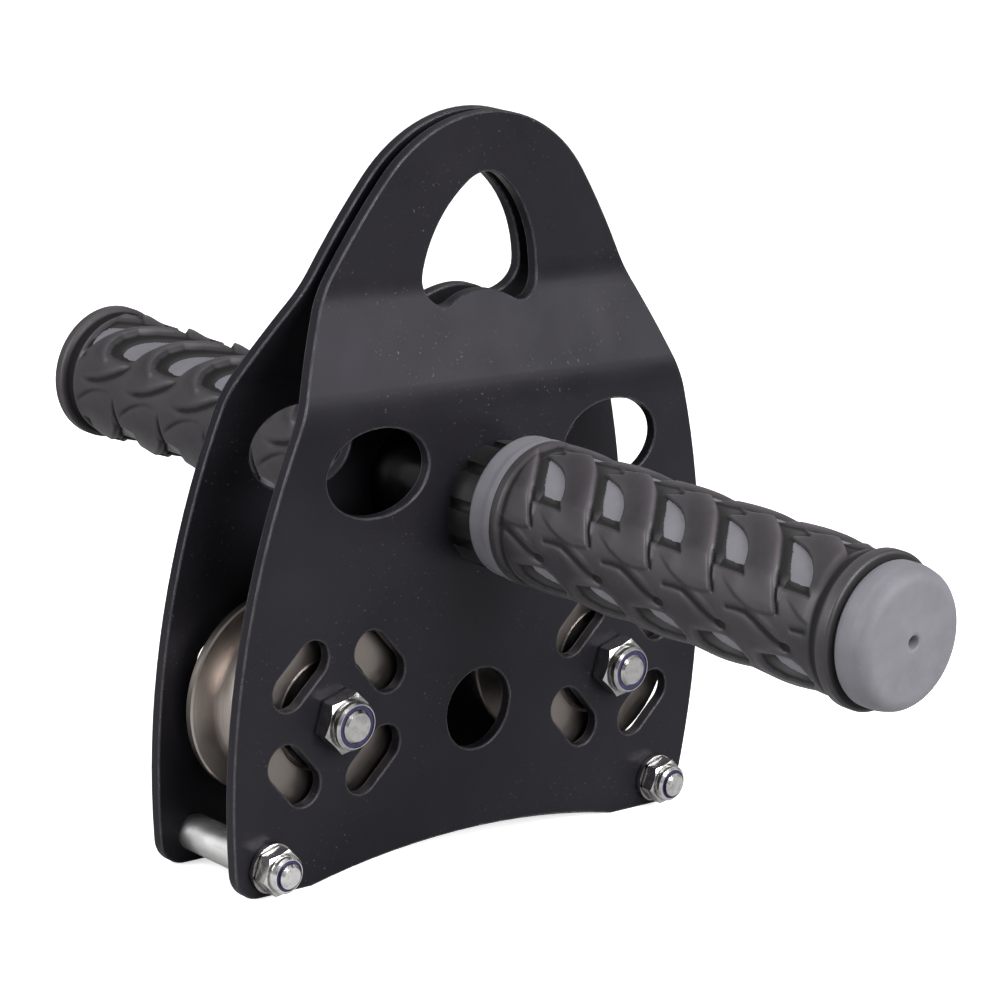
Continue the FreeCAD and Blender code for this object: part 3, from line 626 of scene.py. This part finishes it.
# a lighter copy of the same plated steel for the corner nuts and bolts: painted highlight
PLATED_PAINTED_LIGHTER = plated_steel("plated_steel_painted_lighter", 1.42)
NYLON = nylon()
SEAL = seal()
LOCK_PLASTIC = moulded_rubber("lock_ring_plastic", (0.006, 0.006, 0.006), (0.012, 0.0115, 0.011), 0.40, 0.58,
                              (0.06, 0.06, 0.06), 0.28)
BLACK_RUBBER = moulded_rubber("grip_black_rubber", (0.0165, 0.0142, 0.0165), (0.0255, 0.0222, 0.0260),
                              0.42, 0.55, (0.08, 0.075, 0.08), 0.38, worn_and_painted_light=True)
GREY_RUBBER = moulded_rubber("grip_grey_rubber", (0.108, 0.106, 0.120), (0.130, 0.127, 0.143), 0.50, 0.66,
                             (0.28, 0.28, 0.30), 0.3)

FINISH = {
    "rear_plate": POWDER, "front_plate": POWDER, "handle_tube": BAR_STEEL, "handle_spacer": HANDLE_ALLOY,
    "rear_lock_ring": LOCK_PLASTIC, "front_lock_ring": LOCK_PLASTIC, "inner_races": BEARING_STEEL,
    "race_spacers": SPACER_ALLOY, "side_spacers": SPACER_ALLOY, "axle_sleeves": BEARING_STEEL,
    "axle_bolts": PLATED, "axle_nuts": PLATED, "axle_nut_inserts": NYLON, "axle_washers": PLATED,
    "corner_bolts": PLATED_PAINTED_LIGHTER, "corner_nuts": PLATED_PAINTED_LIGHTER, "corner_nut_inserts": NYLON,
    "corner_washers": PLATED, "corner_spacers": CORNER_ALLOY,
}
for wheel_side in ("left", "right"):
    FINISH[wheel_side + "_wheel"] = WHEEL_STEEL
    FINISH[wheel_side + "_outer_races"] = BEARING_STEEL
    FINISH[wheel_side + "_bearing_balls"] = BEARING_STEEL
    FINISH[wheel_side + "_ball_cages"] = CAGE_STEEL
    FINISH[wheel_side + "_bearing_seals"] = SEAL
for node_name, material in FINISH.items():
    data = NODES[node_name].data
    data.materials.clear()
    data.materials.append(material)

GRIPS = (
    Grip("front", -1, side_a, 145.5, cover_r=16.7, collar_r=17.9, pad_r=15.95, groove_depth=0.3,
         lift_in=1.3, lift_out=0.0),
    Grip("rear", 1, side_b, 137.6, cover_r=16.2, collar_r=17.6, pad_r=14.95, groove_depth=1.2,
         lift_in=0.7, lift_out=0.9),
)
for grip in GRIPS:
    for part, make, material, slot_name in (("core", grip_core, GREY_RUBBER, "grip_grey_rubber"),
                                            ("cover", grip_cover, BLACK_RUBBER, "grip_black_rubber")):
        piece = make(f"{grip.where}_grip_{part}_moulded", grip)
        piece.data.materials.append(material)
        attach(piece, "frame")
        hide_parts(f"{grip.where}_grip_{part}")


# ---- studio ----
def area_light(name, position, target, size, power):
    light = bpy.data.lights.new(name, "AREA")
    light.shape = "RECTANGLE"
    light.size, light.size_y = size
    light.energy = power
    obj = bpy.data.objects.new(name, light)
    obj.location = position
    obj.rotation_euler = (Vector(target) - Vector(position)).to_track_quat("-Z", "Y").to_euler()
    bpy.context.scene.collection.objects.link(obj)


CENTRE = (0.0, 0.0, 0.09)                       # the middle of the trolley
area_light("overhead_softbox", (-0.10, 0.12, 1.3), CENTRE, (0.8, 0.8), 2.6)
area_light("key_softbox", (0.06, -1.22, 0.72), CENTRE, (0.9, 0.7), 29.0)
area_light("side_softbox", (0.84, -0.80, 0.68), (0.0, 0.0, 0.126), (0.6, 0.42), 3.5)
area_light("left_softbox", (-1.22, 0.34, 0.6), CENTRE, (0.5, 0.9), 20.0)

world = bpy.data.worlds.new("studio")
bpy.context.scene.world = world
world.use_nodes = True
sky = world.node_tree
height = sky.nodes.new("ShaderNodeSeparateXYZ")
sky.links.new(sky.nodes.new("ShaderNodeTexCoord").outputs["Generated"], height.inputs[0])
brightness = sky.nodes.new("ShaderNodeValToRGB")
brightness.color_ramp.elements.new(0.35)
for element, level in zip(brightness.color_ramp.elements, (0.30, 0.55, 1.0)):      # horizon to overhead
    element.color = (level, level, level, 1.0)
sky.links.new(height.outputs["Z"], brightness.inputs["Fac"])
sky.links.new(brightness.outputs["Color"], sky.nodes["Background"].inputs["Color"])
sky.nodes["Background"].inputs["Strength"].default_value = 0.52

FLOOR = 6.0                                     # half the floor's width, in metres
floor_mesh = bpy.data.meshes.new("floor")
floor_mesh.from_pydata([(x * FLOOR, y * FLOOR, 0) for x, y in ((-1, -1), (1, -1), (1, 1), (-1, 1))],
                       [], [(0, 1, 2, 3)])
floor = bpy.data.objects.new("floor", floor_mesh)
bpy.context.scene.collection.objects.link(floor)
# The floor looks nearly white, but throws less light on the object than white paper would.
paper = Material("pale_floor", Specular_IOR_Level=0.2)
pale = paper.ramp(paper.noise(3.0, 2.0), (0.3, 0.96), (0.7, 0.99))
seen = paper.node("ShaderNodeLightPath").outputs["Is Camera Ray"]
paper.shader.inputs["Emission Color"].default_value = (1.0, 1.0, 1.0, 1.0)
paper.link(paper.math("MULTIPLY", seen, 0.62), paper.shader.inputs["Emission Strength"])
floor_mesh.materials.append(paper.done(paper.mix(seen, (0.38, 0.38, 0.38), pale),
                                       paper.ramp(paper.noise(9.0, 2.0), (0.3, 0.7), (0.7, 0.8))))

# ---- camera, as fitted to the photograph, in metres and millimetres of lens ----
AZIMUTH, ELEVATION, ROLL = math.radians(-44.2095), math.radians(13.9723), math.radians(4.482)
DISTANCE = 0.851394
LENS, SENSOR = 125.954, 36.0
AIM_RIGHT, AIM_UP = 0.01193, 0.0432             # the picture's centre, from the mid-plane at axle height
back = Vector((math.sin(AZIMUTH) * math.cos(ELEVATION), -math.cos(AZIMUTH) * math.cos(ELEVATION),
               math.sin(ELEVATION)))
right = Vector((math.cos(AZIMUTH), math.sin(AZIMUTH), 0.0))
up = back.cross(right)
aim = right * AIM_RIGHT + up * AIM_UP + Vector((0, MID_Y, AXLE_Z))
cam_x = right * math.cos(ROLL) + up * math.sin(ROLL)
cam_y = up * math.cos(ROLL) - right * math.sin(ROLL)
camera_data = bpy.data.cameras.new("camera")
camera_data.sensor_width = SENSOR
camera_data.lens = LENS
camera_data.clip_start, camera_data.clip_end = 0.01, 50.0
camera = bpy.data.objects.new("camera", camera_data)
bpy.context.scene.collection.objects.link(camera)
place = Matrix((cam_x, cam_y, back)).transposed().to_4x4()
place.translation = aim + back * DISTANCE
camera.matrix_world = place
bpy.context.scene.camera = camera
bpy.context.scene.view_settings.view_transform = "Standard"
